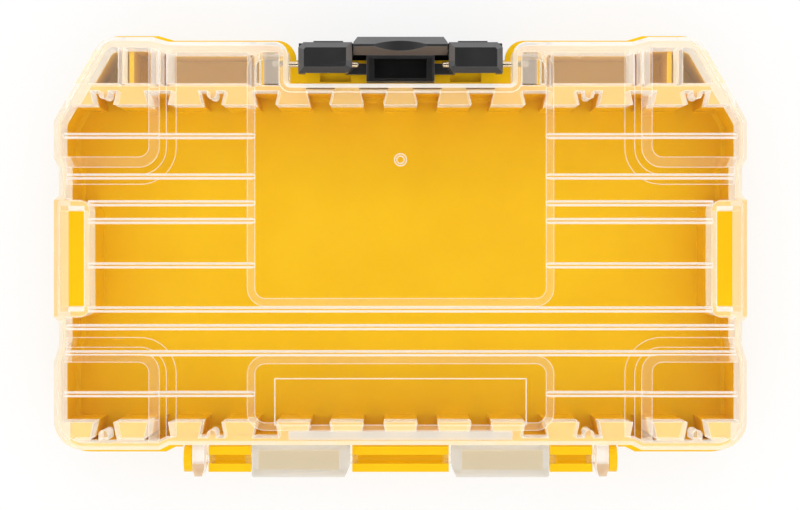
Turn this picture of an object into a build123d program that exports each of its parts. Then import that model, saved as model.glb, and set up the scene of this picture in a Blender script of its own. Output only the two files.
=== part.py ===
from build123d import *
import os

# Tool case with a clear hinged lid over a tray and a swinging front latch.
# Millimetres. The tray lies on Z 0, +X is the case's right, -Y its latch side, +Y its hinge side.
# Every Y below is measured from the case datum and moved by y_shift when the parts are written.

# Case outline
half_width = 104.0
front_edge = 64.5
rear_edge = 56.5
side_set_in = 1.5
front_bumper = 1.4
rear_bumper = 1.5
front_bumper_length = 29.6
rear_bumper_length = 31.7
bumper_ramp = 4.8
corner_cut_x = 14.4
corner_cut_y = 25.0
corner_cut_front_radius = 6.0
corner_cut_side_radius = 5.0
rear_corner_radius = 9.0
rear_side_radius = 4.0
notch_half = 33.8
notch_depth = 12.6
notch_inner_radius = 1.0
notch_corner_radius = 4.0

# Side bumpers at the corners, and the grip between them
front_side_length = 34.9
rear_side_length = 25.0
grip_centre = 0.6
grip_length = 35.0

# Heights and walls
tray_height = 22.0
lid_height = 16.0
wall = 2.0
front_wall = 3.1
floor = 2.0
lid_plate = 1.8
shut_gap = 0.15
bottom_bevel = 2.0
floor_bevel = 1.2
lid_edge_bevel = 1.2
rim_out = 1.75
rim_thickness = 2.5

# Grip wells in both sides
grip_well_width = 7.0
grip_wall = 1.3
grip_end_wall = 3.0
grip_skin = 0.2
grip_corner_radius = 3.0
grip_inner_radius = 1.0
grip_mouth_bevel = 1.2

# Rows of dovetail teeth along the front and rear walls
tooth_pitch = 16.2
tooth_tip = 10.0
tooth_root = 8.0
front_tooth_reach = 4.2
rear_tooth_reach = 4.8
boss_width = 2.6
boss_reach = 2.4
boss_notches = (3.5, 5.5)

# Ribs inside the front hollow, with their thickness: outer ones by their distance in from the
# case's side, inner ones by their distance from its middle
lid_outer_ribs = ((20.0, 1.2), (29.9, 1.6), (32.9, 1.6))
lid_inner_rib = (44.8, 2.0)
tray_outer_rib = (21.6, 1.4)
tray_inner_rib = (42.3, 1.4)
hollow_rib_drop = 0.5

# Raised ribs on the lid's top, as places along Y
rib_width = 1.5
rib_height = 1.0
rib_bevel = 0.45
rib_end_inset = 1.8
long_ribs = (15.8, 21.1, 28.9)
grip_ribs = (-16.0, -10.7, 2.6, 15.8)
side_ribs = (-36.1, -24.0, 41.1)

# Raised panels on the lid's top
panel_height = 0.8
panel_slope = 2.3
panel_half = 45.9
panel_corner = 5.4
main_panel_setback = 3.1
main_panel_rear = 14.8
rear_panel_front = 29.7
rear_panel_setback = 4.5
label_half = 37.6
label_front = 36.5
label_setback = 1.6
label_recess = 0.25
rear_bar_half = 33.4
rear_bar_depth = 2.4
rear_bar_gap = 0.4
gate_mark_radius = 1.8
gate_mark_wall = 0.7
gate_mark_y = 29.0
gate_mark_height = 0.3

# Stacking pads at the four corners of the lid
pad_inset = 2.6
low_pad_width = 36.8
low_pad_front_length = 42.8
low_pad_rear_length = 32.3
low_pad_slope = 2.9
low_pad_height = 0.5
low_pad_corner = 10.8
pad_width = 31.8
pad_front_length = 37.7
pad_rear_length = 28.0
pad_slope = 3.0
pad_height = 1.0
pad_corner = 6.1

# Hinge: clear knuckles with stub pins that run in open troughs on the tray
hinge_setback = 5.5
stub_radius = 1.5
stub_clearance = 0.06
stub_length = 1.7
trough_radius = 3.9
trough_rise = 1.2
trough_lip = 0.8
mouth_pinch = 0.2
web_top_gap = 0.6
web_drop = 4.0
knuckle_radius = 4.8
ear_radius = 4.6
knuckle_rise = 8.0
knuckle_wall = 2.0
knuckle_inner_bevel = (1.4, 3.2)
knuckle_outer_bevel = (0.5, 0.5)
ear_bevel = (0.7, 2.4)
hinge_gap = 0.7
centre_trough_half = 14.8
knuckle_width = 29.6
outer_trough_width = 13.0
ear_width = 3.6
end_plate_width = 2.4

# Latch
pivot_setback = 6.2
pivot_height = 32.0
pin_radius = 0.85
pin_clearance = 0.05
pin_grip = 4.6
pin_tip_x = 12.6
latch_half = 30.8
latch_wing = 16.2
latch_rise = 4.4
latch_reach = 6.5
latch_tail = 2.8
latch_wall = 2.0
latch_bevel = 1.7
latch_bottom = 8.0
latch_web_drop = 2.6
plate_top_drop = 1.0
centre_half = 14.2
centre_bulge = 1.9
centre_rise = 3.2
centre_ridge = 0.7
centre_slope = 2.5
centre_face_drop = 3.5
centre_root_step = 1.7
centre_root_drop = 3.0
tab_drop = 1.5
tab_flare = 0.7
tab_flare_height = 5.0
tab_taper = 0.6
tab_ramp = 2.0
tab_radius = 1.0
scoop_half = 7.8
scoop_depth = 1.6
cup_half = 10.3
cup_wall = 2.3
cup_well_front = 1.7
cup_rear = 5.1
cup_rear_wall = 0.9
cup_depth = 7.0
cup_floor = 1.2
tie_front = 0.5
tie_thickness = 2.0
latch_corner = 1.6
latch_bottom_radius = 2.0
front_pad_start = 17.3
front_pad_end = 26.2
front_pad_rise = 0.35
slit_half = 4.5
slit_height = 0.5

# Catch on the tray, under the latch
ledge_reach = 8.3
ledge_thickness = 3.5
ledge_recess = 1.5
ledge_recess_near = 15.2
ledge_recess_far = 24.7
ledge_gussets = (9.0, 27.0)
gusset_thickness = 1.6
gusset_setback = 2.0
gusset_height = 6.0
catch_gap = 0.3
hook_height = 2.4
hook_lip = 0.8
hook_end_gap = 2.0
latch_rib_depth = 0.9
latch_rib_width = 1.6

# Clear blocks beside the latch that carry its pins
block_width = 9.0
block_depth = 8.4
block_height = 12.0

# How far solids of one moulding run into each other, and how far a cut runs past a face
sink = 0.5
past = 1.0

# Places that follow from the sizes above
lid_base = tray_height + shut_gap
lid_top = tray_height + lid_height
notch_y = -(front_edge - notch_depth)
front_inner = notch_y + wall
rear_inner = rear_edge - wall
waist_x = half_width - side_set_in
teeth_each_side = int((half_width - wall) // tooth_pitch)
lid_ribs = [(half_width - x, t) for x, t in lid_outer_ribs] + [lid_inner_rib]
tray_ribs = [(half_width - tray_outer_rib[0], tray_outer_rib[1]), tray_inner_rib]
rear_panel_rear = rear_edge - rear_panel_setback
low_pad_x = half_width - low_pad_width
pad_x = half_width - pad_width
well_outer = half_width - wall - grip_skin
well_inner = well_outer - grip_well_width
hinge_y = rear_edge + hinge_setback
hinge_z = tray_height
pivot_y = notch_y - pivot_setback
pad_top = lid_top + low_pad_height + pad_height
ledge_front = notch_y - ledge_reach
y_front = -(front_edge + front_bumper + rim_out)
y_rear = hinge_y + knuckle_radius
y_shift = -(y_front + y_rear) / 2


# Small helpers

def block(x0, x1, y0, y1, z0, z1):
    """A box between two corners."""
    centre = Pos((x0 + x1) / 2, (y0 + y1) / 2, (z0 + z1) / 2)
    return centre * Box(x1 - x0, y1 - y0, z1 - z0)


def both_sides(solid):
    """The solid and its mirror image across the case's middle."""
    return solid + mirror(solid, about=Plane.YZ)


def along_x(profile, x0, x1):
    """A profile drawn as (y, z) points, drawn out from x0 to x1."""
    face = Plane.YZ * make_face(Polyline(*profile, close=True))
    return Pos(x0, 0, 0) * extrude(face, x1 - x0, dir=(1, 0, 0))


def rod(x0, x1, y, z, radius):
    """A round bar along X."""
    return Pos((x0 + x1) / 2, y, z) * Rot(0, 90, 0) * Cylinder(radius, x1 - x0)


def rounded(x0, x1, y0, y1, radius):
    """A rectangle with four round corners, on the XY plane."""
    centre = Pos((x0 + x1) / 2, (y0 + y1) / 2)
    return centre * RectangleRounded(x1 - x0, y1 - y0, radius)


# Outline of the case

def outline_corners():
    """Right half of the outline from the notch to the hinge side: x, y and corner radius."""
    front = -front_edge
    bumper = front - front_bumper
    rear = rear_edge + rear_bumper
    grip_front = grip_centre - grip_length / 2
    grip_rear = grip_centre + grip_length / 2
    front_side = front + front_side_length
    rear_side = rear_edge - rear_side_length
    front_x = half_width - front_bumper_length
    rear_x = half_width - rear_bumper_length
    return [
        (notch_half, notch_y, notch_inner_radius),
        (notch_half, front, notch_corner_radius),
        (front_x - bumper_ramp, front, 0),
        (front_x, bumper, 0),
        (half_width - corner_cut_x, bumper, corner_cut_front_radius),
        (half_width, bumper + corner_cut_y, corner_cut_side_radius),
        (half_width, front_side, 0),
        (waist_x, front_side + 2 * side_set_in, 0),
        (waist_x, grip_front - side_set_in, 0),
        (half_width, grip_front, 0),
        (half_width, grip_rear, 0),
        (waist_x, grip_rear + side_set_in, 0),
        (waist_x, rear_side - bumper_ramp, 0),
        (half_width, rear_side, rear_side_radius),
        (half_width, rear, rear_corner_radius),
        (rear_x, rear, 0),
        (rear_x - 2 * rear_bumper, rear_edge, 0),
    ]


def outline():
    right = outline_corners()
    loop = right + [(-x, y, r) for x, y, r in reversed(right)]
    wire = FilletPolyline(*[(x, y) for x, y, _ in loop], radius=[r for _, _, r in loop], close=True)
    return make_face(wire)


def inset(amount):
    """The outline moved in, or out where the amount is negative."""
    return offset(outline(), -amount, kind=Kind.INTERSECTION)


# Features that tray and lid share

def tooth_row(wall_y, reach, z0, z1):
    """Dovetail teeth, wide at the tip, standing on the wall at wall_y and reaching by reach."""
    tip_y = wall_y + reach
    root_y = wall_y - sink * reach / abs(reach)
    tooth = Polyline(
        (-tooth_root / 2, root_y),
        (tooth_root / 2, root_y),
        (tooth_root / 2, wall_y),
        (tooth_tip / 2, tip_y),
        (-tooth_tip / 2, tip_y),
        (-tooth_root / 2, wall_y),
        close=True,
    )
    solid = Pos(0, 0, z0) * extrude(make_face(tooth), z1 - z0)
    places = range(-teeth_each_side, teeth_each_side + 1)
    row = [Pos(place * tooth_pitch, 0, 0) * solid for place in places]
    end = teeth_each_side * tooth_pitch
    corner = block(end, half_width, min(root_y, tip_y), max(root_y, tip_y), z0, z1)
    return row + [both_sides(corner)]


def boss_row(wall_y, reach, z0, z1):
    """Round-nosed bosses in some of the gaps between teeth."""
    side = reach / abs(reach)
    nose_y = wall_y + reach - side * boss_width / 2
    root_y = wall_y - sink * side
    half = boss_width / 2
    stem = block(-half, half, min(root_y, nose_y), max(root_y, nose_y), z0, z1)
    nose = Pos(0, nose_y, (z0 + z1) / 2) * Cylinder(half, z1 - z0)
    boss = stem + nose
    return [Pos(sign * gap * tooth_pitch, 0, 0) * boss for gap in boss_notches for sign in (-1, 1)]


def corner_plate(x, y, radius, low, high, front):
    """A plate over one front or rear right corner, inside x and y, with one round corner."""
    far_x = half_width + pad_width
    far_y = y - pad_width - front_edge if front else y + pad_width + rear_edge
    loop = [(x, y), (far_x, y), (far_x, far_y), (x, far_y)]
    wire = FilletPolyline(*loop, radius=[radius, 0, 0, 0], close=True)
    return Pos(0, 0, low) * extrude(make_face(wire), high - low)


def hollow_ribs(ribs, z0, z1):
    """Thin cross ribs between the front edge and the compartment wall."""
    front = -(front_edge + front_bumper)
    one_side = [block(x - t / 2, x + t / 2, front, notch_y + sink, z0, z1) for x, t in ribs]
    return [both_sides(rib) for rib in one_side]


def front_hollow_wall(z0, z1):
    """What makes the walls round the front hollow thicker than the others."""
    ring = inset(wall - sink) - inset(front_wall)
    band = Pos(0, 0, z0) * extrude(ring, z1 - z0)
    return band & block(-half_width, half_width, y_front, notch_y + sink, z0, z1)


# Tray

def tray_outer():
    solid = extrude(outline(), tray_height)
    return chamfer(solid.faces().sort_by(Axis.Z)[0].edges(), bottom_bevel)


def tray_cavity():
    solid = Pos(0, 0, floor) * extrude(inset(wall), tray_height - floor)
    return chamfer(solid.faces().sort_by(Axis.Z)[0].edges(), floor_bevel)


def rim_flange():
    """The rim that stands proud all round, left out where the hinge is."""
    ring = inset(-rim_out) - inset(wall)
    flange = Pos(0, 0, tray_height - rim_thickness) * extrude(ring, rim_thickness)
    hinge_half = hinge_spans()["end_plate"][1] + hinge_gap
    return flange - block(-hinge_half, hinge_half, rear_edge, y_rear + past, 0, lid_top)


def grip_body(z0, z1):
    """The block that closes a grip well off from the compartment."""
    half = grip_length / 2
    x0 = well_inner - grip_wall
    solid = block(x0, half_width + past, grip_centre - half, grip_centre + half, z0, z1)
    return fillet(solid.edges().filter_by(Axis.Z).sort_by(Axis.X)[:2], grip_corner_radius)


def grip_well(z0, z1):
    half = grip_length / 2 - grip_end_wall
    solid = block(well_inner, well_outer, grip_centre - half, grip_centre + half, z0, z1)
    return fillet(solid.edges().filter_by(Axis.Z).sort_by(Axis.X)[:2], grip_inner_radius)


def grip_mouth():
    """The bevels at the two ends of a grip well, on the lid's top."""
    half = grip_length / 2 - grip_end_wall
    wide = half + grip_mouth_bevel + past
    top = lid_top + past
    profile = [
        (grip_centre - wide, top),
        (grip_centre + wide, top),
        (grip_centre + half, lid_top - grip_mouth_bevel),
        (grip_centre - half, lid_top - grip_mouth_bevel),
    ]
    return along_x(profile, well_inner, well_outer)


def catch_ledge():
    """The shelf in the latch notch that the latch closes over."""
    z0 = tray_height - ledge_thickness
    end = notch_half + sink
    root = notch_y + sink
    shelf = block(-end, end, ledge_front, root, z0, tray_height)
    low = tray_height - ledge_recess
    recess = block(ledge_recess_near, ledge_recess_far, ledge_front - past, notch_y, low, lid_top)
    shelf -= both_sides(recess)
    gusset = [(root, z0 + sink), (ledge_front + gusset_setback, z0 + sink), (root, z0 - gusset_height)]
    half = gusset_thickness / 2
    for place in ledge_gussets:
        shelf += both_sides(along_x(gusset, place - half, place + half))
    return shelf


def hinge_spans():
    """Where each hinge piece on the right side starts and ends along X."""
    knuckle = centre_trough_half + hinge_gap
    trough = knuckle + knuckle_width + hinge_gap
    ear = trough + outer_trough_width + hinge_gap
    plate = ear + ear_width + hinge_gap
    return {
        "knuckle": (knuckle, knuckle + knuckle_width),
        "outer_trough": (trough, trough + outer_trough_width),
        "ear": (ear, ear + ear_width),
        "end_plate": (plate, plate + end_plate_width),
    }


def trough(x0, x1):
    """An open-topped hinge trough with its web to the tray's rear wall."""
    body = rod(x0, x1, hinge_y, hinge_z, trough_radius)
    top = hinge_z + trough_rise
    front = hinge_y - trough_radius
    back = hinge_y + trough_radius
    upper_half = block(x0 - past, x1 + past, front - past, back + past, hinge_z, hinge_z + 2 * trough_radius)
    body -= upper_half
    body += block(x0, x1, front, back, hinge_z, top)
    body += trough_web(x0, x1)
    socket = stub_radius + stub_clearance
    body -= rod(x0 - past, x1 + past, hinge_y, hinge_z, socket)
    mouth = socket - mouth_pinch
    body -= block(x0 - past, x1 + past, hinge_y - mouth, hinge_y + mouth, hinge_z, top + past)
    return body


def trough_web(x0, x1):
    """The sloping web under a hinge trough."""
    low = hinge_z - trough_radius
    high = hinge_z - web_top_gap
    root = rear_edge - wall / 2
    profile = [
        (root, high),
        (hinge_y - trough_radius + trough_lip, high),
        (hinge_y - trough_lip, low),
        (root, low - web_drop),
    ]
    return along_x(profile, x0, x1)


def end_plate(x0, x1):
    """A closed disc at the hinge's end, with a hole for the last stub pin."""
    body = rod(x0, x1, hinge_y, hinge_z, trough_radius) + trough_web(x0, x1)
    return body - rod(x0 - past, x1 + past, hinge_y, hinge_z, stub_radius + stub_clearance)


def tray_hinge():
    spans = hinge_spans()
    pieces = trough(-centre_trough_half, centre_trough_half)
    pieces += both_sides(trough(*spans["outer_trough"]))
    pieces += both_sides(end_plate(*spans["end_plate"]))
    return pieces


def base_tray():
    outer = tray_outer()
    shell = outer - tray_cavity()
    z0 = floor / 2
    z1 = tray_height - hollow_rib_drop
    inside = block(-half_width, half_width, notch_y, front_inner, z0, tray_height)
    inside += front_hollow_wall(z0, tray_height)
    for piece in hollow_ribs(tray_ribs, z0, z1):
        inside += piece
    inside += both_sides(grip_body(z0, tray_height))
    for piece in tooth_row(front_inner, front_tooth_reach, z0, z1):
        inside += piece
    for piece in tooth_row(rear_inner, -rear_tooth_reach, z0, z1):
        inside += piece
    tray = shell + (inside & outer)
    tray -= both_sides(grip_well(-past, tray_height - floor))
    tray += rim_flange()
    tray += catch_ledge()
    tray += tray_hinge()
    return tray


# Lid

def lid_outer():
    solid = Pos(0, 0, lid_base) * extrude(outline(), lid_top - lid_base)
    return chamfer(solid.faces().sort_by(Axis.Z)[-1].edges(), lid_edge_bevel)


def lid_cavity():
    return Pos(0, 0, lid_base) * extrude(inset(wall), lid_top - lid_plate - lid_base)


def sloped_plate(low_face, high_face, z0, z1):
    """A low raised plate whose edge slopes from one outline to a smaller one."""
    return loft([Pos(0, 0, z0) * low_face, Pos(0, 0, z1) * high_face], ruled=True)


def raised_panel(y0, y1):
    low = rounded(-panel_half, panel_half, y0, y1, panel_corner)
    half = panel_half - panel_slope
    high = rounded(-half, half, y0 + panel_slope, y1 - panel_slope, panel_corner - panel_slope)
    return sloped_plate(low, high, lid_top, lid_top + panel_height)


def corner_pad(x, y, radius, slope, z0, z1, front):
    """One step of a stacking pad over a right corner, sloping in on its two inner sides."""
    faces = []
    for step in (0.0, slope):
        near_y = y - step if front else y + step
        plate = corner_plate(x + step, near_y, radius - step, 0, 1, front)
        faces.append(plate.faces().sort_by(Axis.Z)[0])
    low, high = (Face(face.outer_wire()) for face in faces)
    return sloped_plate(low, high, z0, z1)


def stacking_pads():
    middle = lid_top + low_pad_height
    pads = []
    for front in (True, False):
        low_y = low_pad_front_length - front_edge if front else rear_edge - low_pad_rear_length
        high_y = pad_front_length - front_edge if front else rear_edge - pad_rear_length
        pads.append(corner_pad(low_pad_x, low_y, low_pad_corner, low_pad_slope,
                               lid_top, middle, front))
        pads.append(corner_pad(pad_x, high_y, pad_corner, pad_slope, middle, pad_top, front))
        pads.append(corner_plate(low_pad_x, low_y, low_pad_corner, lid_top - lid_plate / 2,
                                 lid_top, front))
    return [both_sides(pad) for pad in pads]


def top_rib(x0, x1, y, top):
    """One cross rib on the lid's plate, with two bevelled top edges."""
    half = rib_width / 2
    low = lid_top - lid_plate / 2
    profile = [
        (y - half, low),
        (y + half, low),
        (y + half, top - rib_bevel),
        (y + half - rib_bevel, top),
        (y - half + rib_bevel, top),
        (y - half, top - rib_bevel),
    ]
    return along_x(profile, x0, x1)


def top_ribs():
    """The raised cross ribs, which rise again where they cross the stacking pads."""
    high = lid_top + rib_height
    end = waist_x - rib_end_inset
    grip_end = well_inner - grip_wall
    ribs = []
    for y in long_ribs:
        x = grip_end if y in grip_ribs else end
        ribs.append(top_rib(-x, x, y, high))
    inner = panel_half - panel_slope
    for y in grip_ribs:
        ribs.append(both_sides(top_rib(inner, grip_end, y, high)))
    for y in side_ribs:
        ribs.append(both_sides(top_rib(inner, end, y, high)))
    for y in (side_ribs[0], side_ribs[-1]):
        ribs.append(both_sides(top_rib(pad_x, end, y, pad_top + rib_height / 2)))
    return ribs


def gate_mark():
    z = lid_top + panel_height + gate_mark_height / 2
    disc = Pos(0, -gate_mark_y, z) * Cylinder(gate_mark_radius, gate_mark_height)
    dimple = Pos(0, -gate_mark_y, z) * Cylinder(gate_mark_radius - gate_mark_wall, gate_mark_height)
    return disc - dimple


def top_relief():
    """Everything that stands on the lid's plate, kept inside the lid's own outline."""
    relief = raised_panel(main_panel_setback - front_edge, main_panel_rear)
    relief += raised_panel(rear_panel_front, rear_panel_rear)
    for piece in top_ribs() + stacking_pads():
        relief += piece
    top = lid_top + panel_height
    label_rear = rear_panel_rear - label_setback
    relief -= block(-label_half, label_half, label_front, label_rear, top - label_recess, top + past)
    bar_front = rear_panel_rear + rear_bar_gap
    relief += block(-rear_bar_half, rear_bar_half, bar_front, bar_front + rear_bar_depth,
                    lid_top - lid_plate / 2, top)
    relief += gate_mark()
    limit = Pos(0, 0, lid_top - lid_plate) * extrude(inset(pad_inset), pad_top + rib_height - lid_top + lid_plate)
    return relief & limit


def pin_block():
    """The clear block at one side of the latch notch that grips a latch pin."""
    x0 = notch_half - sink
    y0 = pivot_y - block_depth / 2
    z0 = lid_top - block_height
    return block(x0, x0 + block_width, y0, notch_y + sink, z0, lid_top - lid_plate / 2)


def pin_bore(radius):
    x1 = notch_half + pin_grip
    return rod(notch_half - past, x1, pivot_y, pivot_height, radius)


def hinge_arm(x0, x1, radius, bevel_0, bevel_1):
    """A lug of the lid round the hinge axis, joined to the lid's rear wall, with two bevelled corners."""
    top = hinge_z + knuckle_rise
    root = rear_edge - wall / 2
    back = hinge_y + radius
    lug = rod(x0, x1, hinge_y, hinge_z, radius)
    lug += block(x0, x1, hinge_y - radius, back, hinge_z, top)
    lug += block(x0, x1, root, hinge_y, lid_base, top)
    plan = Polyline(
        (x0, root),
        (x1, root),
        (x1, back - bevel_1[1]),
        (x1 - bevel_1[0], back),
        (x0 + bevel_0[0], back),
        (x0, back - bevel_0[1]),
        close=True,
    )
    return lug & extrude(make_face(plan), top)


def stub(x0, x1):
    """One stub pin of the lid."""
    return rod(x0, x1, hinge_y, hinge_z, stub_radius)


def knuckle(x0, x1):
    """A boxy clear knuckle, hollow from below, with a stub pin at each end."""
    lug = hinge_arm(x0, x1, knuckle_radius, knuckle_inner_bevel, knuckle_outer_bevel)
    inner = knuckle_radius - knuckle_wall
    side = knuckle_wall + knuckle_inner_bevel[0] / 2
    lug -= block(x0 + side, x1 - side, hinge_y - inner, hinge_y + inner,
                 hinge_z - 2 * knuckle_radius, hinge_z + knuckle_rise - knuckle_wall)
    reach = hinge_gap + stub_length
    return lug + stub(x0 - reach, x0 + sink) + stub(x1 - sink, x1 + reach)


def ear(x0, x1):
    """A thin clear ear with a stub pin through it."""
    reach = hinge_gap + stub_length
    return hinge_arm(x0, x1, ear_radius, ear_bevel, ear_bevel) + stub(x0 - reach, x1 + reach)


def wall_slits():
    """Shallow slits under the lid's wall behind the latch, between the teeth."""
    slits = []
    for gap in (-1.5, -0.5, 0.5, 1.5):
        x = gap * tooth_pitch
        slits.append(block(x - slit_half, x + slit_half, notch_y - past, notch_y + wall / 2,
                           lid_base, lid_base + slit_height))
    return slits


def lid():
    outer = lid_outer()
    shell = outer - lid_cavity()
    z1 = lid_top - lid_plate / 2
    inside = block(-half_width, half_width, notch_y, front_inner, lid_base, z1)
    inside += front_hollow_wall(lid_base, z1)
    for piece in hollow_ribs(lid_ribs, lid_base + hollow_rib_drop, z1):
        inside += piece
    inside += both_sides(grip_body(lid_base, z1))
    for piece in tooth_row(front_inner, front_tooth_reach, lid_base, z1):
        inside += piece
    for piece in tooth_row(rear_inner, -rear_tooth_reach, lid_base, z1):
        inside += piece
    for piece in boss_row(front_inner, boss_reach, lid_base, z1):
        inside += piece
    for piece in boss_row(rear_inner, -boss_reach, lid_base, z1):
        inside += piece
    inside += both_sides(pin_block())
    body = shell + (inside & outer)
    body += top_relief()
    body -= both_sides(grip_well(lid_base - past, pad_top + rib_height))
    body -= both_sides(grip_mouth())
    body -= both_sides(pin_bore(pin_radius))
    for slit in wall_slits():
        body -= slit
    spans = hinge_spans()
    body += both_sides(knuckle(*spans["knuckle"]))
    body += both_sides(ear(*spans["ear"]))
    return body


# Latch

def latch_wing_solid():
    """One hollow wing with the two webs that ride on its pin."""
    x1 = latch_half
    x0 = x1 - latch_wing
    front = pivot_y - latch_reach
    tail = pivot_y + latch_tail
    top = pivot_height + latch_rise
    plan = Polyline(
        (x0, front),
        (x1 - latch_corner, front),
        (x1, front + latch_corner),
        (x1, tail),
        (x0 + latch_corner, tail),
        (x0, tail - latch_corner),
        close=True,
    )
    cap = Pos(0, 0, latch_bottom) * extrude(make_face(plan), top - latch_bottom)
    cap = chamfer(cap.faces().sort_by(Axis.Z)[-1].edges(), latch_bevel)
    low = pivot_height - latch_web_drop
    inner = front + latch_wall
    bottom = latch_bottom - past
    cap -= block(x0 - past, x1 + past, inner, tail + past, bottom, low)
    cap -= block(x0 + latch_wall, x1 - latch_wall, inner, tail + past, bottom, top - latch_wall)
    pad_bottom = (latch_bottom + pivot_height) / 2
    return cap + block(front_pad_start, front_pad_end, front - front_pad_rise, front + sink,
                       pad_bottom, top - latch_bevel)


def latch_silhouette():
    """The latch's shape from the front: round lower corners and a tab in the middle."""
    top = pivot_height + latch_rise + past
    tab = latch_bottom - tab_drop
    corners = [
        (-latch_half, top, 0),
        (-latch_half, latch_bottom, latch_bottom_radius),
        (-centre_half, latch_bottom, tab_radius),
        (-centre_half + tab_ramp, tab, tab_radius),
        (centre_half - tab_ramp, tab, tab_radius),
        (centre_half, latch_bottom, tab_radius),
        (latch_half, latch_bottom, latch_bottom_radius),
        (latch_half, top, 0),
    ]
    wire = FilletPolyline(*[(x, z) for x, z, _ in corners], radius=[r for _, _, r in corners], close=True)
    face = Plane.XZ * make_face(wire)
    return extrude(face, front_edge + notch_depth, dir=(0, -1, 0))


def latch_centre():
    """The raised middle of the front plate, with its ridge, scoop and finger tab."""
    plate = pivot_y - latch_reach
    bulge = plate - centre_bulge
    top = pivot_height + centre_rise
    inner = plate + latch_wall
    ridge = bulge + centre_slope
    profile = [
        (bulge, top - centre_face_drop),
        (ridge, top),
        (ridge + centre_ridge, top),
        (inner + centre_root_step, pivot_height),
        (inner, pivot_height - centre_root_drop),
        (inner, latch_bottom),
        (inner - tab_taper, latch_bottom - tab_drop),
        (bulge - tab_flare, latch_bottom - tab_drop),
        (bulge, latch_bottom + tab_flare_height),
    ]
    body = along_x(profile, -centre_half, centre_half)
    plan = Polyline(
        (-centre_half, inner + 2 * centre_root_step),
        (-centre_half, plate),
        (-centre_half + latch_corner, bulge - tab_flare),
        (centre_half - latch_corner, bulge - tab_flare),
        (centre_half, plate),
        (centre_half, inner + 2 * centre_root_step),
        close=True,
    )
    body &= extrude(make_face(plan), lid_top)
    radius = (scoop_half ** 2 + scoop_depth ** 2) / (2 * scoop_depth)
    centre = Pos(0, ridge, top - scoop_depth + radius)
    return body - centre * Rot(90, 0, 0) * Cylinder(radius, 2 * latch_reach)


def latch_cup():
    """The deep cup between the wings, and the strap that ties it to them."""
    y0 = pivot_y - latch_reach + latch_wall - sink
    y1 = pivot_y + cup_rear
    z0 = pivot_height - cup_depth
    cup = block(-cup_half, cup_half, y0, y1, z0, pivot_height)
    tie = latch_half - latch_wing + latch_wall
    tie_top = pivot_height - latch_web_drop
    cup += block(-tie, tie, pivot_y - tie_front, pivot_y + latch_tail, tie_top - tie_thickness, tie_top)
    well_half = cup_half - cup_wall
    return cup - block(-well_half, well_half, pivot_y - cup_well_front, y1 - cup_rear_wall,
                       z0 + cup_floor, pivot_height + past)


def latch_plate():
    """The lower front plate, its stiffening ribs and the hook that closes over the tray's ledge."""
    front = pivot_y - latch_reach
    inner = front + latch_wall
    root = inner - sink
    top = pivot_height - plate_top_drop
    plate = block(-latch_half, latch_half, front, inner, latch_bottom, top)
    hook_top = tray_height - ledge_thickness - catch_gap
    tip = ledge_front - catch_gap
    hook = [(root, hook_top), (tip, hook_top), (tip, hook_top - hook_lip), (root, hook_top - hook_height)]
    half = latch_half - hook_end_gap
    for x in (latch_half, latch_half - latch_wing + latch_rib_width):
        rib = block(x - latch_rib_width, x, root, inner + latch_rib_depth, latch_bottom, top)
        plate += both_sides(rib)
    return plate + along_x(hook, -half, half)


def latch():
    body = both_sides(latch_wing_solid()) + latch_plate() + latch_centre() + latch_cup()
    body &= latch_silhouette()
    reach = notch_half + pin_grip
    bore = rod(pin_tip_x - past, reach, pivot_y, pivot_height, pin_radius + pin_clearance)
    return body - both_sides(bore)


def latch_pin():
    """A round pin with softened ends, gripped by the lid's block and free in the latch."""
    x1 = notch_half + pin_grip
    pin = rod(pin_tip_x, x1, pivot_y, pivot_height, pin_radius)
    return chamfer(pin.edges(), pin_radius * 0.4)


# Writing the parts

def save(name, solid):
    export_step(Pos(0, y_shift, 0) * solid, f"parts/{name}.step")


os.makedirs("parts", exist_ok=True)
save("base_tray", base_tray())
save("lid", lid())
save("latch", latch())
right_pin = latch_pin()
save("latch_pin_right", right_pin)
save("latch_pin_left", mirror(right_pin, about=Plane.YZ))
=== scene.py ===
import math
from collections import namedtuple

import bmesh
import bpy
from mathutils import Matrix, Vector


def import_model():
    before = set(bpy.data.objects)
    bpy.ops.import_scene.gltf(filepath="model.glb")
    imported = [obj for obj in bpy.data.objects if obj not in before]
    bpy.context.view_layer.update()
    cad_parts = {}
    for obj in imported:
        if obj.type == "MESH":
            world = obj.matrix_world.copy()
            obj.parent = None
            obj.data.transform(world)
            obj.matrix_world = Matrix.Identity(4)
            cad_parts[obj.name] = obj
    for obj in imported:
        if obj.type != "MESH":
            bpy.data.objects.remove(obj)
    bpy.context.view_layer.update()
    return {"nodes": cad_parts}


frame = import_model()
tray = frame["nodes"]["base_tray"]
lid = frame["nodes"]["lid"]
latch = frame["nodes"]["latch"]
pins = [frame["nodes"]["latch_pin_left"], frame["nodes"]["latch_pin_right"]]

MM = 0.001

# The photograph: its size in pixels, the pixel straight under the camera, and what one pixel covers
# at the height of the lid's top
PHOTO_WIDTH = 800
PHOTO_HEIGHT = 510
NADIR_X = 400.5
NADIR_Y = 256.7
PIXEL_SIZE = 0.2995 * MM
PIXEL_HEIGHT = 38 * MM

# The camera's place over the case, and its own measures
CAMERA_HEIGHT = 700 * MM
CAMERA_Y = 0.425 * MM
SENSOR_WIDTH = 36.0
CLIP_END = 20.0


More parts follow.
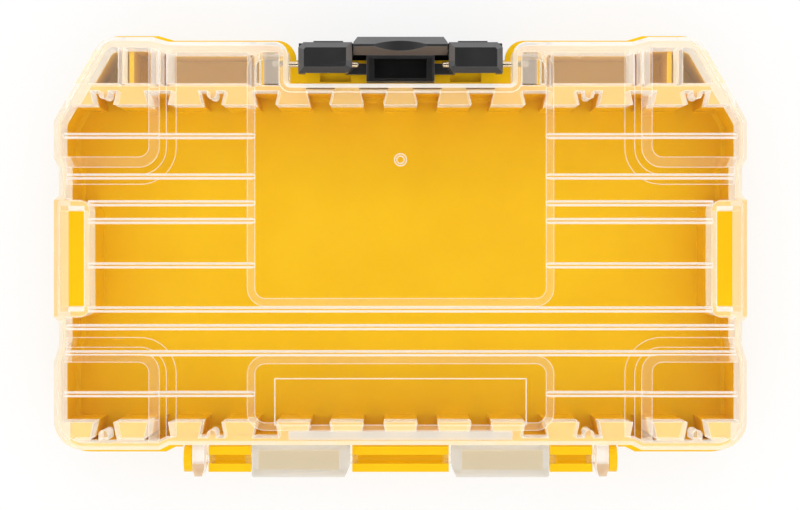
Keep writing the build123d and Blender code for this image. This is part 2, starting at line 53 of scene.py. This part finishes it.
def camera():
    """A camera straight over the case, turned so that the latch is at the top of the picture."""
    data = bpy.data.cameras.new("camera")
    data.sensor_width = SENSOR_WIDTH
    data.lens = SENSOR_WIDTH * (CAMERA_HEIGHT - PIXEL_HEIGHT) / (PHOTO_WIDTH * PIXEL_SIZE)
    data.shift_x = -(NADIR_X - PHOTO_WIDTH / 2) / PHOTO_WIDTH
    data.shift_y = (NADIR_Y - PHOTO_HEIGHT / 2) / PHOTO_WIDTH
    data.clip_end = CLIP_END
    thing = bpy.data.objects.new("camera", data)
    thing.location = (0, CAMERA_Y, CAMERA_HEIGHT)
    thing.rotation_euler = (0, 0, math.pi)
    bpy.context.scene.collection.objects.link(thing)
    bpy.context.scene.camera = thing


# Building material trees

def new_material(name):
    """An empty material, its tree and its output node."""
    material = bpy.data.materials.new(name)
    material.use_nodes = True
    tree = material.node_tree
    tree.nodes.clear()
    return material, tree, tree.nodes.new("ShaderNodeOutputMaterial")


def add(tree, kind, settings=None, **inputs):
    """A node with its settings and its inputs, each a plain value or a socket to link.

    An input is given by its name, with _ for a space, or by its number, as in i0.
    """
    made = tree.nodes.new(kind)
    for name, value in (settings or {}).items():
        setattr(made, name, value)
    for name, value in inputs.items():
        socket = made.inputs[int(name[1:])] if name.startswith("i") else made.inputs[name.replace("_", " ")]
        if isinstance(value, bpy.types.NodeSocket):
            tree.links.new(value, socket)
        else:
            socket.default_value = value
    return made


def maths(tree, operation, *values):
    """The result of a Math node on plain values or sockets."""
    inputs = {f"i{number}": value for number, value in enumerate(values)}
    return add(tree, "ShaderNodeMath", {"operation": operation}, **inputs).outputs[0]


def times(tree, first, second):
    return maths(tree, "MULTIPLY", first, second)


def most(tree, first, second):
    return maths(tree, "MAXIMUM", first, second)


FULL_RANGE = (0.0, 1.0)


def spread(tree, value, source, target=FULL_RANGE):
    """A value moved from its own range to a target range, and kept inside it."""
    return add(tree, "ShaderNodeMapRange", i0=value, i1=source[0], i2=source[1],
               i3=target[0], i4=target[1]).outputs[0]


def colours(tree, factor, first, second):
    """The first colour where the factor is 0, the second where it is 1, and a mix between."""
    mix = add(tree, "ShaderNodeMix", {"data_type": "RGBA"}, i0=factor, i6=first, i7=second)
    return mix.outputs[2]


def white(level):
    return (level, level, level, 1)


def place(tree, x=1.0, y=1.0, z=1.0):
    """The piece's own coordinates, stretched along each axis."""
    here = add(tree, "ShaderNodeTexCoord").outputs["Object"]
    return add(tree, "ShaderNodeMapping", Vector=here, Scale=(x, y, z)).outputs["Vector"]


def across_and_along(tree):
    """How far a point lies from the case's middle plane, to either side, and its y and z."""
    here = add(tree, "ShaderNodeSeparateXYZ", i0=place(tree)).outputs
    return maths(tree, "ABSOLUTE", here["X"]), here["Y"], here["Z"]


def noise(tree, vector, scale, detail):
    return add(tree, "ShaderNodeTexNoise", Vector=vector, Scale=scale, Detail=detail).outputs["Fac"]


# Effects that more than one finish uses

FLOAT = "NodeSocketFloat"
VECTOR = "NodeSocketVector"

BEVEL_SAMPLES = 6

# How far the rounded normal agrees with the face's own where an edge begins to show, and where it
# shows fully
EDGE_AGREEMENT = (0.99998, 0.9993)

GRAIN_DETAIL = 3.0
PATCH_DETAIL = 4.0

# Scuffs are stretched along x by this much, wander this much, and show where their noise is in range
SCUFF_STRETCH = 0.06
SCUFF_WANDER = 0.4
SCUFF_DETAIL = 2.0
SCUFF_LINES = (0.66, 0.74)
RUBBED_SIZE = 25.0
RUBBED_DETAIL = 3.0
RUBBED_PLACES = (0.48, 0.66)


def new_group(name, inputs, outputs):
    """An empty node group with named number inputs and named outputs."""
    group = bpy.data.node_groups.new(name, "ShaderNodeTree")
    for title, value in inputs:
        socket = group.interface.new_socket(title, in_out="INPUT", socket_type=FLOAT)
        socket.default_value = value
    for title, kind in outputs:
        group.interface.new_socket(title, in_out="OUTPUT", socket_type=kind)
    return group, group.nodes.new("NodeGroupInput").outputs, group.nodes.new("NodeGroupOutput").inputs


def edge_group():
    """Where a moulded edge is: 0 on a flat face, up to 1 on an edge, and the normal that rounds it."""
    group, given, out = new_group(
        "moulded edge", [("Radius", 0.2 * MM)], [("Edge", FLOAT), ("Normal", VECTOR)])
    bevel = add(group, "ShaderNodeBevel", {"samples": BEVEL_SAMPLES}, Radius=given["Radius"])
    rounded = bevel.outputs["Normal"]
    own = add(group, "ShaderNodeNewGeometry").outputs["Normal"]
    agreement = add(group, "ShaderNodeVectorMath", {"operation": "DOT_PRODUCT"},
                    i0=rounded, i1=own).outputs["Value"]
    group.links.new(spread(group, agreement, EDGE_AGREEMENT), out["Edge"])
    group.links.new(rounded, out["Normal"])
    return group


def lie_group():
    """How level a face is, 1 where flat and 0 where upright, and how far it faces the rear."""
    group, _, out = new_group("lie of a face", [], [("Level", FLOAT), ("Rearward", FLOAT)])
    facing = add(group, "ShaderNodeTexCoord").outputs["Normal"]
    parts = add(group, "ShaderNodeSeparateXYZ", i0=facing).outputs
    group.links.new(maths(group, "ABSOLUTE", parts["Z"]), out["Level"])
    group.links.new(parts["Y"], out["Rearward"])
    return group


def grain_group():
    """The fine grain of a spark-eroded mould, as a height, and slow patches of gloss."""
    group, given, out = new_group(
        "mould grain",
        [("Grain size", 4000.0), ("Patch size", 60.0)],
        [("Height", FLOAT), ("Patches", FLOAT)])
    here = place(group)
    group.links.new(noise(group, here, given["Grain size"], GRAIN_DETAIL), out["Height"])
    group.links.new(noise(group, here, given["Patch size"], PATCH_DETAIL), out["Patches"])
    return group


def scuff_group():
    """Thin rubbed lines that run mostly one way, as a mask."""
    group, given, out = new_group("fine scuffs", [("Amount", 0.5), ("Size", 900.0)], [("Scuffs", FLOAT)])
    lines = add(group, "ShaderNodeTexNoise", Vector=place(group, x=SCUFF_STRETCH), Scale=given["Size"],
                Detail=SCUFF_DETAIL, Distortion=SCUFF_WANDER).outputs["Fac"]
    rubbed = noise(group, place(group), RUBBED_SIZE, RUBBED_DETAIL)
    both = times(group, spread(group, lines, SCUFF_LINES), spread(group, rubbed, RUBBED_PLACES))
    group.links.new(times(group, both, given["Amount"]), out["Scuffs"])
    return group


EDGE = edge_group()
LIE = lie_group()
GRAIN = grain_group()
SCUFFS = scuff_group()


def use(tree, group, **values):
    """One of the shared effects, placed in a material with its own values."""
    made = tree.nodes.new("ShaderNodeGroup")
    made.node_tree = group
    for name, value in values.items():
        made.inputs[name.replace("_", " ")].default_value = value
    return made.outputs


# Places on a piece

# Limits in mm: how far across from the middle, on both sides, and along y and z. On the lid, matt is
# the share of milk there.
Region = namedtuple("Region", "across y z matt", defaults=(1.0,))

# Limits that leave nothing out
ANY_ACROSS = (0, 200)
ANY_Y = (-200, 200)


def band(tree, value, limits):
    """1 where a value in metres lies between two limits in mm, and 0 outside them."""
    middle = (limits[0] + limits[1]) / 2 * MM
    half = (limits[1] - limits[0]) / 2 * MM
    return maths(tree, "COMPARE", value, middle, half)


def beyond(tree, value, limit):
    """1 where a value in metres is past a limit in mm, and 0 before it."""
    return maths(tree, "GREATER_THAN", value, limit * MM)


def inside(tree, region):
    """1 inside a region, the same to the left and right, and 0 elsewhere."""
    across, y, z = across_and_along(tree)
    flat = times(tree, band(tree, across, region.across), band(tree, y, region.y))
    return times(tree, flat, band(tree, z, region.z))


def matt_inside(tree, region):
    """The region's own share of milk inside it, and 0 elsewhere."""
    return times(tree, inside(tree, region), region.matt)


# The tray's finish

TRAY_YELLOW = (0.93, 0.56, 0.004, 1)
TRAY_DEEP = (0.91, 0.53, 0.003, 1)
# The paler yellow of the edges is a painted highlight
TRAY_EDGE = (0.98, 0.68, 0.04, 1)
TRAY_EDGE_RADIUS = 0.18 * MM
TRAY_EDGE_SHEEN = (0.0, 0.6)
TRAY_PATCH_COLOUR = (0.35, 0.65)
TRAY_PATCH_GLOSS = (0.3, 0.7)
TRAY_ROUGHNESS = (0.30, 0.42)


def tray_plastic():
    """Yellow moulded plastic: satin, with a fine grain, faint flow patches and a painted highlight that
    makes the edges paler.
    """
    material, tree, out = new_material("tray_yellow_plastic")
    edge = use(tree, EDGE, Radius=TRAY_EDGE_RADIUS)
    grain = use(tree, GRAIN, Grain_size=2600.0, Patch_size=45.0)
    scuffs = use(tree, SCUFFS, Amount=0.5, Size=1300.0)
    body = colours(tree, spread(tree, grain["Patches"], TRAY_PATCH_COLOUR), TRAY_DEEP, TRAY_YELLOW)
    # The edges get a painted highlight in a paler yellow
    edge_lit = colours(tree, spread(tree, edge["Edge"], FULL_RANGE, TRAY_EDGE_SHEEN), body, TRAY_EDGE)
    rough = maths(tree, "ADD", scuffs["Scuffs"],
                  spread(tree, grain["Patches"], TRAY_PATCH_GLOSS, TRAY_ROUGHNESS))
    bump = add(tree, "ShaderNodeBump", Strength=0.18, Distance=0.06 * MM,
               Height=grain["Height"], Normal=edge["Normal"])
    skin = add(tree, "ShaderNodeBsdfPrincipled", Base_Color=edge_lit, Roughness=rough, IOR=1.53,
               Specular_IOR_Level=0.12, Normal=bump.outputs["Normal"])
    tree.links.new(skin.outputs[0], out.inputs["Surface"])
    return material


# The lid's finish: clear plastic, mixed with a matt share that is called milk here. On slopes, upright
# walls, edges and bevels the milk is a painted reflection and highlight, white where the clear plastic would
# mirror and bend the bright room.

CLEAR_TINT = (0.995, 0.992, 0.982, 1)
CLEAR_MILK = (0.88, 0.855, 0.81, 1)
MILK_THROUGH = (0.16, 0.15, 0.14, 1)
WALL_MILK = (0.50, 0.495, 0.485, 1)
# Painted shade with the tray's yellow in it, on the grip wells' walls
WELL_WALL_TAN = (0.50, 0.43, 0.31, 1)

# Painted light and shade: colours that the milk of some places takes to stand in for the tray's yellow light
# and the shade that the clear plastic shows there. SLIT_SHADE is a painted shade and BAR_CREAM a painted
# highlight.
SIDE_CREAM = (0.82, 0.73, 0.58, 1)
REAR_CREAM = (0.88, 0.75, 0.52, 1)
WELL_AMBER = (0.84, 0.57, 0.22, 1)
OUTER_CREAM = (0.88, 0.83, 0.75, 1)
PARTING_CREAM = (0.95, 0.84, 0.58, 1)
PLATE_AMBER = (0.95, 0.80, 0.56, 1)
PIN_WINDOW_GREY = (0.66, 0.58, 0.48, 1)
BAR_CREAM = (0.63, 0.61, 0.55, 1)
KNUCKLE_GREY = (0.54, 0.52, 0.47, 1)
KNUCKLE_BEIGE = (0.53, 0.45, 0.30, 1)
EAR_TAN = (0.58, 0.39, 0.22, 1)
SLIT_SHADE = (0.16, 0.09, 0.05, 1)

# Places with a painted tint of the tray's yellow light
SIDE_EDGES = Region((100.4, 200), ANY_Y, (22.5, 41.0))
REAR_EDGE = Region(ANY_ACROSS, (55.3, 59.0), (31.0, 41.0))
WELL_WALLS = Region((99.6, 200), (-16.7, 18.4), (22.5, 41.0))

# Places with a painted tint of light or shade and a share of milk of their own. The ears have only the
# share.
PARTING_FACES = Region(ANY_ACROSS, ANY_Y, (22.0, 22.4), 0.42)
FRONT_PLATE = Region(ANY_ACROSS, (-61.6, -51.6), (35.5, 38.2), 0.10)
PIN_WINDOWS = Region((35.4, 41.2), (-60.8, -51.3), (38.3, 39.2), 0.55)
# The rear bar's milk and cream are a painted highlight
REAR_BAR = Region((0, 33.5), (52.7, 55.3), (37.5, 38.9), 0.85)
KNUCKLE_FRAMES = Region((15.5, 45.3), (57.1, 80.0), (10.0, 31.0), 0.60)
KNUCKLE_FACES = Region((18.6, 43.2), (59.0, 65.0), (10.0, 31.0), 0.78)
EARS = Region((59.0, 64.0), (57.1, 80.0), (10.0, 31.0), 0.40)
EAR_ENDS = Region((59.0, 64.0), (63.2, 80.0), (10.0, 31.0), 0.72)
SLITS = Region((0, 29.0), (-52.6, -50.4), (22.3, 22.7), 0.9)

# The stub pins in their troughs stay clear
MIDDLE_STUBS = Region((0, 15.5), (57.1, 80.0), (10.0, 31.0))
SIDE_STUBS = Region((45.3, 59.0), (57.1, 80.0), (10.0, 31.0))
STUB_MILK = (1.0, 0.1)
STUB_STRAIGHT = 0.9

# The lid's outer walls: past these places, in mm, a face belongs to them. The slanting walls lie past
# a distance along a direction that points across and forward.
WALL_SIDE = 100.4
WALL_FRONT = 60.5
WALL_NOTCH = 33.8
WALL_SLANT = 107.1
SLANT_ACROSS = 0.8665
SLANT_FORWARD = 0.4991
# The milk on the outer walls' parting faces is a painted highlight that whitens the band round the lid
OUTER_PARTING = 0.85

# How the share of milk, a painted reflection on slopes and upright faces, follows the lie of a face, whose
# level is 1 where flat and 0 where upright
SLOPE_LEVELS = (0.975, 0.94)
SLOPE_REFLECTION_MILK = (0.002, 0.10)
UPRIGHT_LEVELS = (0.5, 0.1)
UPRIGHT_REFLECTION_MILK = (0.0, 0.52)
FLAT_LEVELS = (0.9, 0.95)

# Bevels lie at 45 degrees: their level, and how far from it a face still counts as one. Bevels and
# edges have the same milk, a painted highlight.
BEVEL_LEVEL = 0.707
BEVEL_REACH = 0.08
LINE_HIGHLIGHT_MILK = 0.80

# Shallow slopes let part of the light straight through, so that they don't mirror the inside
STRAIGHT_FROM = (0.99, 0.97)
STRAIGHT_UNTIL = (0.75, 0.90)
SLOPE_STRAIGHT = (0.0, 0.6)

# How much of a lamp's light each wall of the lid lets through
LAMP_THROUGH = 0.93
LID_EDGE_RADIUS = 0.3 * MM
LID_PATCHES = (0.35, 0.65)
LID_ROUGHNESS = (0.02, 0.07)


def outer_walls(tree):
    """1 on the side, front and slanting walls that the light comes in through, and 0 inside them."""
    across, y, _ = across_and_along(tree)
    forward = times(tree, y, -1.0)
    front = times(tree, beyond(tree, forward, WALL_FRONT), beyond(tree, across, WALL_NOTCH))
    slant = maths(tree, "ADD", times(tree, across, SLANT_ACROSS), times(tree, forward, SLANT_FORWARD))
    return most(tree, most(tree, beyond(tree, across, WALL_SIDE), front), beyond(tree, slant, WALL_SLANT))


def stubs(tree):
    """1 on the stub pins in their troughs, and 0 elsewhere."""
    return most(tree, inside(tree, MIDDLE_STUBS), inside(tree, SIDE_STUBS))


def lid_haze(tree, edge, level):
    """The share of milk: hardly any on flat faces, and more as painted reflection and highlight on slopes,
    walls, edges and in the places with painted light or shade.
    """
    slopes = spread(tree, level, SLOPE_LEVELS, SLOPE_REFLECTION_MILK)
    walls = spread(tree, level, UPRIGHT_LEVELS, UPRIGHT_REFLECTION_MILK)
    bevels = maths(tree, "COMPARE", level, BEVEL_LEVEL, BEVEL_REACH)
    lines = times(tree, most(tree, edge, bevels), LINE_HIGHLIGHT_MILK)
    flat = spread(tree, level, FLAT_LEVELS)
    outer = times(tree, outer_walls(tree), OUTER_PARTING / PARTING_FACES.matt)
    parting = times(tree, matt_inside(tree, PARTING_FACES), times(tree, most(tree, outer, 1.0), flat))
    front = most(tree, matt_inside(tree, FRONT_PLATE), matt_inside(tree, PIN_WINDOWS))
    plate = times(tree, front, flat)
    matt = most(tree, most(tree, slopes, walls), most(tree, lines, parting))
    for region in (REAR_BAR, KNUCKLE_FRAMES, KNUCKLE_FACES, EARS, EAR_ENDS, SLITS):
        matt = most(tree, matt, matt_inside(tree, region))
    return times(tree, most(tree, matt, plate), spread(tree, stubs(tree), FULL_RANGE, STUB_MILK))


def lid_milk_with_painted_light(tree):
    """The colour of the milk: clear white on the whole, and in some places painted with light and shade, the
    tray's yellow and the shade seen through the clear plastic.
    """
    everywhere = 1.0
    within = maths(tree, "SUBTRACT", 1.0, outer_walls(tree))
    painted_milk_colour = CLEAR_MILK
    for region, colour, where in (
            (SIDE_EDGES, SIDE_CREAM, everywhere),
            (REAR_EDGE, REAR_CREAM, everywhere),
            (WELL_WALLS, WELL_AMBER, everywhere),
            (PARTING_FACES, OUTER_CREAM, everywhere),
            (PARTING_FACES, PARTING_CREAM, within),
            (FRONT_PLATE, PLATE_AMBER, everywhere),
            (PIN_WINDOWS, PIN_WINDOW_GREY, everywhere),
            (REAR_BAR, BAR_CREAM, everywhere),
            (KNUCKLE_FRAMES, KNUCKLE_GREY, everywhere),
            (KNUCKLE_FACES, KNUCKLE_BEIGE, everywhere),
            (EAR_ENDS, EAR_TAN, everywhere),
            (SLITS, SLIT_SHADE, everywhere)):
        # Each place gets its painted light or shade
        painted_milk_colour = colours(tree, times(tree, inside(tree, region), where), painted_milk_colour, colour)
    return painted_milk_colour


def lid_plastic():
    """Clear polished plastic with milk as painted reflection and highlight on slopes, walls and edges, slow
    ripples and rubbed patches.
    """
    material, tree, out = new_material("lid_clear_plastic")
    edge = use(tree, EDGE, Radius=LID_EDGE_RADIUS)
    level = use(tree, LIE)["Level"]
    grain = use(tree, GRAIN, Grain_size=140.0, Patch_size=30.0)
    scuffs = use(tree, SCUFFS, Amount=0.25, Size=1500.0)

    ripple = add(tree, "ShaderNodeBump", Strength=0.05, Distance=0.2 * MM,
                 Height=grain["Height"], Normal=edge["Normal"])
    rough = maths(tree, "ADD", scuffs["Scuffs"],
                  spread(tree, grain["Patches"], LID_PATCHES, LID_ROUGHNESS))
    glass = add(tree, "ShaderNodeBsdfPrincipled", Base_Color=CLEAR_TINT, Roughness=rough, IOR=1.49,
                Transmission_Weight=1.0, Normal=ripple.outputs["Normal"])
    straight = add(tree, "ShaderNodeBsdfTransparent", Color=CLEAR_TINT)
    sloping = times(tree, spread(tree, level, STRAIGHT_FROM, SLOPE_STRAIGHT),
                    spread(tree, level, STRAIGHT_UNTIL))
    through = most(tree, sloping, times(tree, stubs(tree), STUB_STRAIGHT))
    clear = add(tree, "ShaderNodeMixShader", i0=through, i1=glass.outputs[0], i2=straight.outputs[0])

    upright = spread(tree, level, UPRIGHT_LEVELS)
    wall = colours(tree, inside(tree, WELL_WALLS), WALL_MILK, WELL_WALL_TAN)
    near = add(tree, "ShaderNodeBsdfDiffuse", Color=colours(tree, upright, lid_milk_with_painted_light(tree), wall))
    far = add(tree, "ShaderNodeBsdfTranslucent", Color=colours(tree, upright, MILK_THROUGH, wall))
    milk = add(tree, "ShaderNodeAddShader", i0=near.outputs[0], i1=far.outputs[0])
    haze = lid_haze(tree, edge["Edge"], level)
    hazy = add(tree, "ShaderNodeMixShader", i0=haze, i1=clear.outputs[0], i2=milk.outputs[0])

    shadow_ray = add(tree, "ShaderNodeLightPath").outputs["Is Shadow Ray"]
    lamp_light = add(tree, "ShaderNodeBsdfTransparent", Color=white(LAMP_THROUGH))
    mixed = add(tree, "ShaderNodeMixShader", i0=shadow_ray, i1=hazy.outputs[0], i2=lamp_light.outputs[0])
    tree.links.new(mixed.outputs[0], out.inputs["Surface"])
    return material


# The latch's finish

LATCH_BLACK = (0.016, 0.016, 0.017, 1)
# Paler colour: on the edges a painted highlight, on the scuffs the colour of wear
LATCH_SHEEN_AND_WEAR = (0.11, 0.108, 0.11, 1)
# Painted highlight on the slopes that face the front
LATCH_SLOPE_HIGHLIGHT = (0.13, 0.128, 0.130, 1)
LATCH_SHADE = (0.035, 0.034, 0.036, 1)
# Painted shade with the tray's yellow reflected in it, on the slope behind the latch's middle
LATCH_BACK_SHADE = (0.115, 0.085, 0.065, 1)
# Near-black painted shade for the cup
LATCH_CUP_SHADE = (0.002, 0.0015, 0.001, 1)

# The latch's cup, where a near-black painted shade goes, and the slope behind its middle, where a brown
# painted shade goes
LATCH_CUP = Region((0, 9.6), (-59.6, -52.4), (24.9, 32.3))
LATCH_BACK = Region((0, 24.5), (-64.5, -58.5), (20.0, 40.0))

# Levels between which a face counts as a slope, and how much of the slopes' painted grey highlight upright
# faces keep
GREY_FROM = (0.92, 0.80)
GREY_UNTIL = (0.15, 0.35)
UPRIGHT_GREY = (0.15, 1.0)
REARWARD = (-0.3, 0.3)
LATCH_EDGE_RADIUS = 0.2 * MM
LATCH_EDGE_SHEEN = (0.0, 0.6)
LATCH_EDGE_POLISH = (0.0, 0.12)
LATCH_PATCHES = (0.3, 0.7)
LATCH_ROUGHNESS = (0.34, 0.50)


def latch_plastic():
    """Black moulded plastic with a fine matt grain and polished edges, painted with light and shade: a grey
    highlight on the edges and the front-facing slopes, a darker shade on the rear-facing slopes, a brown
    shade behind the middle and a near-black shade in the cup.
    """
    material, tree, out = new_material("latch_black_plastic")
    edge = use(tree, EDGE, Radius=LATCH_EDGE_RADIUS)
    grain = use(tree, GRAIN, Grain_size=5200.0, Patch_size=120.0)
    scuffs = use(tree, SCUFFS, Amount=0.3, Size=2200.0)
    lie = use(tree, LIE)
    # The slopes get painted light: a grey highlight where they face the front, and painted shade where they
    # face the rear
    slopes = times(tree, spread(tree, lie["Level"], GREY_FROM),
                   spread(tree, lie["Level"], GREY_UNTIL, UPRIGHT_GREY))
    rear = colours(tree, inside(tree, LATCH_BACK), LATCH_SHADE, LATCH_BACK_SHADE)
    slope = colours(tree, spread(tree, lie["Rearward"], REARWARD), LATCH_SLOPE_HIGHLIGHT, rear)
    body = colours(tree, slopes, LATCH_BLACK, slope)
    # The edges get a painted grey highlight
    edge_lit = colours(tree, spread(tree, edge["Edge"], FULL_RANGE, LATCH_EDGE_SHEEN), body, LATCH_SHEEN_AND_WEAR)
    cup_shaded = colours(tree, inside(tree, LATCH_CUP), edge_lit, LATCH_CUP_SHADE)
    rubbed = colours(tree, scuffs["Scuffs"], cup_shaded, LATCH_SHEEN_AND_WEAR)
    rough = maths(tree, "SUBTRACT", spread(tree, grain["Patches"], LATCH_PATCHES, LATCH_ROUGHNESS),
                  spread(tree, edge["Edge"], FULL_RANGE, LATCH_EDGE_POLISH))
    bump = add(tree, "ShaderNodeBump", Strength=0.35, Distance=0.05 * MM,
               Height=grain["Height"], Normal=edge["Normal"])
    skin = add(tree, "ShaderNodeBsdfPrincipled", Base_Color=rubbed, Roughness=rough, IOR=1.5,
               Normal=bump.outputs["Normal"])
    tree.links.new(skin.outputs[0], out.inputs["Surface"])
    return material


# The pins' finish

PIN_STEEL = (0.78, 0.66, 0.48, 1)
PIN_DULL = (0.50, 0.40, 0.28, 1)
PIN_EDGE_RADIUS = 0.15 * MM

# The drawn lines are noise that changes fast along the pin and slowly round it
LINES_ALONG = 6000.0
LINES_ROUND = 150.0
PIN_LINES = (0.3, 0.7)
PIN_ROUGHNESS = (0.16, 0.34)
PIN_PATCH_SIZE = 900.0
PIN_PATCHES = (0.4, 0.7)
PIN_DULLNESS = (0.0, 0.6)


def pin_steel():
    """Drawn steel with fine lines round the pin and dull patches."""
    material, tree, out = new_material("pin_drawn_steel")
    edge = use(tree, EDGE, Radius=PIN_EDGE_RADIUS)
    lines = noise(tree, place(tree, LINES_ALONG, LINES_ROUND, LINES_ROUND), scale=1.0, detail=2.0)
    patches = noise(tree, place(tree), PIN_PATCH_SIZE, detail=3.0)
    colour = colours(tree, spread(tree, patches, PIN_PATCHES, PIN_DULLNESS), PIN_STEEL, PIN_DULL)
    rough = spread(tree, lines, PIN_LINES, PIN_ROUGHNESS)
    bump = add(tree, "ShaderNodeBump", Strength=0.1, Distance=0.02 * MM, Height=lines, Normal=edge["Normal"])
    skin = add(tree, "ShaderNodeBsdfPrincipled", Base_Color=colour, Metallic=1.0, Roughness=rough,
               Normal=bump.outputs["Normal"])
    tree.links.new(skin.outputs[0], out.inputs["Surface"])
    return material


def finish_node(node, material):
    """Gives a piece its finish."""
    node.data.materials.clear()
    node.data.materials.append(material)


# Floor, room and lamps

FLOOR_SIZE = 6.0
FLOOR_DROP = 0.02 * MM
FLOOR_PAINT = 0.94
FLOOR_OWN_LIGHT = 0.76

# The room's strength by the height of a direction, 0 at the horizon and 1 overhead: as light on the
# object, and as what gloss and clear plastic show
LIGHT = (0.30, 1.10)
WALL_TO_CEILING = (0.78, 0.95)
WALL_AND_CEILING = (1.0, 0.04)

# The soft boxes: where they stand, in metres, their width and height, and their power in watts
LAMPS = (
    ("front_lamp", (0, -0.95, 0.85), (1.6, 0.16), 2.6),
    ("rear_lamp", (0, 0.95, 0.85), (1.6, 0.16), 3.2),
    ("right_lamp", (1.05, 0, 0.80), (1.2, 0.16), 1.6),
    ("left_lamp", (-1.05, 0, 0.80), (1.2, 0.16), 1.6),
)


def seen_directly(tree):
    """1 for what is seen straight, in a gloss or through clear plastic, and 0 for light on the object."""
    path = add(tree, "ShaderNodeLightPath").outputs
    seen = most(tree, path["Is Camera Ray"], most(tree, path["Is Glossy Ray"], path["Is Transmission Ray"]))
    return times(tree, seen, spread(tree, path["Diffuse Depth"], FULL_RANGE, (1.0, 0.0)))


def floor():
    """A pale floor that looks white and still takes the object's shadow."""
    grid = bmesh.new()
    bmesh.ops.create_grid(grid, x_segments=1, y_segments=1, size=FLOOR_SIZE / 2)
    mesh = bpy.data.meshes.new("floor")
    grid.to_mesh(mesh)
    grid.free()
    thing = bpy.data.objects.new("floor", mesh)
    thing.location.z = -FLOOR_DROP
    bpy.context.scene.collection.objects.link(thing)
    material, tree, out = new_material("pale_floor")
    paint = add(tree, "ShaderNodeBsdfDiffuse", Color=white(FLOOR_PAINT))
    glow = add(tree, "ShaderNodeEmission", Color=white(1.0), Strength=1.0)
    share = times(tree, seen_directly(tree), FLOOR_OWN_LIGHT)
    mixed = add(tree, "ShaderNodeMixShader", i0=share, i1=paint.outputs[0], i2=glow.outputs[0])
    tree.links.new(mixed.outputs[0], out.inputs["Surface"])
    mesh.materials.append(material)


def world():
    """A plain pale room: white where it is seen, softer as light on the object."""
    made = bpy.data.worlds.new("studio")
    bpy.context.scene.world = made
    made.use_nodes = True
    tree = made.node_tree
    tree.nodes.clear()
    way = add(tree, "ShaderNodeTexCoord").outputs["Generated"]
    height = add(tree, "ShaderNodeSeparateXYZ", i0=way).outputs["Z"]
    shown = spread(tree, height, WALL_TO_CEILING, WALL_AND_CEILING)
    light = spread(tree, height, FULL_RANGE, LIGHT)
    indirect = add(tree, "ShaderNodeMix", i0=seen_directly(tree), i2=light, i3=shown).outputs[0]
    camera_ray = add(tree, "ShaderNodeLightPath").outputs["Is Camera Ray"]
    strength = add(tree, "ShaderNodeMix", i0=camera_ray, i2=indirect, i3=1.0).outputs[0]
    room = add(tree, "ShaderNodeBackground", Color=white(1.0), Strength=strength)
    out = tree.nodes.new("ShaderNodeOutputWorld")
    tree.links.new(room.outputs[0], out.inputs["Surface"])


def lamps():
    """Soft boxes that face the case from four sides, low enough to stay out of its flat faces' mirror."""
    for name, spot, size, watts in LAMPS:
        data = bpy.data.lights.new(name, "AREA")
        data.shape = "RECTANGLE"
        data.size, data.size_y = size
        data.energy = watts
        thing = bpy.data.objects.new(name, data)
        thing.location = spot
        thing.rotation_euler = (-Vector(spot)).to_track_quat("-Z", "Y").to_euler()
        bpy.context.scene.collection.objects.link(thing)


# Making the scene

bpy.context.scene.view_settings.view_transform = "Standard"

camera()
world()
floor()
lamps()
finish_node(tray, tray_plastic())
finish_node(lid, lid_plastic())
finish_node(latch, latch_plastic())
steel = pin_steel()
for pin in pins:
    finish_node(pin, steel)
